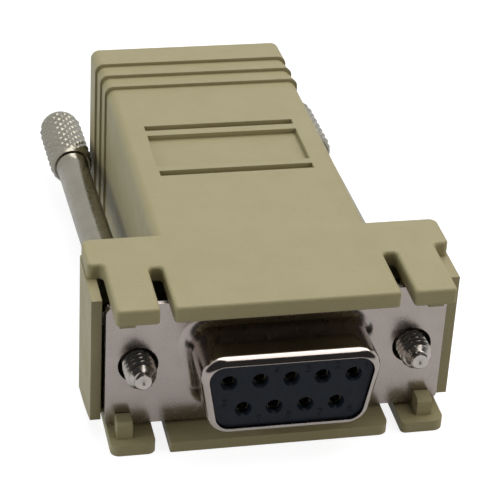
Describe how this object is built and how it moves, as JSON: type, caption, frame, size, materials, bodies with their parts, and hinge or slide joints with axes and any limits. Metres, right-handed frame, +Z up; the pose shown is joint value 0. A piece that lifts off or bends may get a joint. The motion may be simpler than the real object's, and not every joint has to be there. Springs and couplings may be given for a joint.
{
  "type": "serial adapter",
  "caption": "Serial adapter: D-sub socket with two thumbscrews at the front of a beige snap-together hood, modular jack at the back.",
  "frame": {"origin": "on the D-sub flange's front face, midway between the two jackscrews and between the contact rows", "axes": "+X across towards the right-hand screw seen from the front, +Y from the D-sub towards the modular jack, +Z up through the cover"},
  "size_m": [0.0332, 0.0575, 0.0166],
  "materials": {
    "beige_shell": "lightly textured moulded ABS",
    "nickel_sheet": "nickel-plated pressed sheet",
    "nickel_screw": "nickel-plated turned brass",
    "dark_insulator": "blue-black glass-filled polyester",
    "black_jack": "satin moulded",
    "gold_contact": "flash gold plated",
    "lead_blue": "PVC insulation",
    "lead_orange": "PVC insulation",
    "lead_black": "PVC insulation",
    "lead_red": "PVC insulation",
    "lead_green": "PVC insulation",
    "lead_yellow": "PVC insulation",
    "lead_brown": "PVC insulation",
    "lead_white": "PVC insulation"
  },
  "bodies": {
    "root": {"upper_shell": "beige_shell", "lower_shell": "beige_shell", "dsub_front_shell": "nickel_sheet", "dsub_rear_shell": "nickel_sheet", "front_insulator": "dark_insulator", "rear_insulator": "dark_insulator", "jack_housing": "black_jack", "contact_carrier": "black_jack", "socket_contact_1": "gold_contact", "socket_contact_2": "gold_contact", "socket_contact_3": "gold_contact", "socket_contact_4": "gold_contact", "socket_contact_5": "gold_contact", "socket_contact_6": "gold_contact", "socket_contact_7": "gold_contact", "socket_contact_8": "gold_contact", "socket_contact_9": "gold_contact", "jack_contact_1": "gold_contact", "jack_contact_2": "gold_contact", "jack_contact_3": "gold_contact", "jack_contact_4": "gold_contact", "jack_contact_5": "gold_contact", "jack_contact_6": "gold_contact", "jack_contact_7": "gold_contact", "jack_contact_8": "gold_contact", "lead_wire_1": "lead_blue", "lead_wire_2": "lead_orange", "lead_wire_3": "lead_black", "lead_wire_4": "lead_red", "lead_wire_5": "lead_green", "lead_wire_6": "lead_yellow", "lead_wire_7": "lead_brown", "lead_wire_8": "lead_white"},
    "left_screw": {"left_thumbscrew": "nickel_screw"},
    "right_screw": {"right_thumbscrew": "nickel_screw"}
  },
  "joints": [
    {"name": "left_screw_spin", "type": "hinge", "parent": "root", "child": "left_screw", "pos_m": [-0.01249, 0, 0], "axis": [-0.0122, 0.9979, -0.0637], "continuous": true},
    {"name": "right_screw_spin", "type": "hinge", "parent": "root", "child": "right_screw", "pos_m": [0.01249, 0, 0], "axis": [0.0122, 0.9979, -0.0637], "continuous": true}
  ]
}
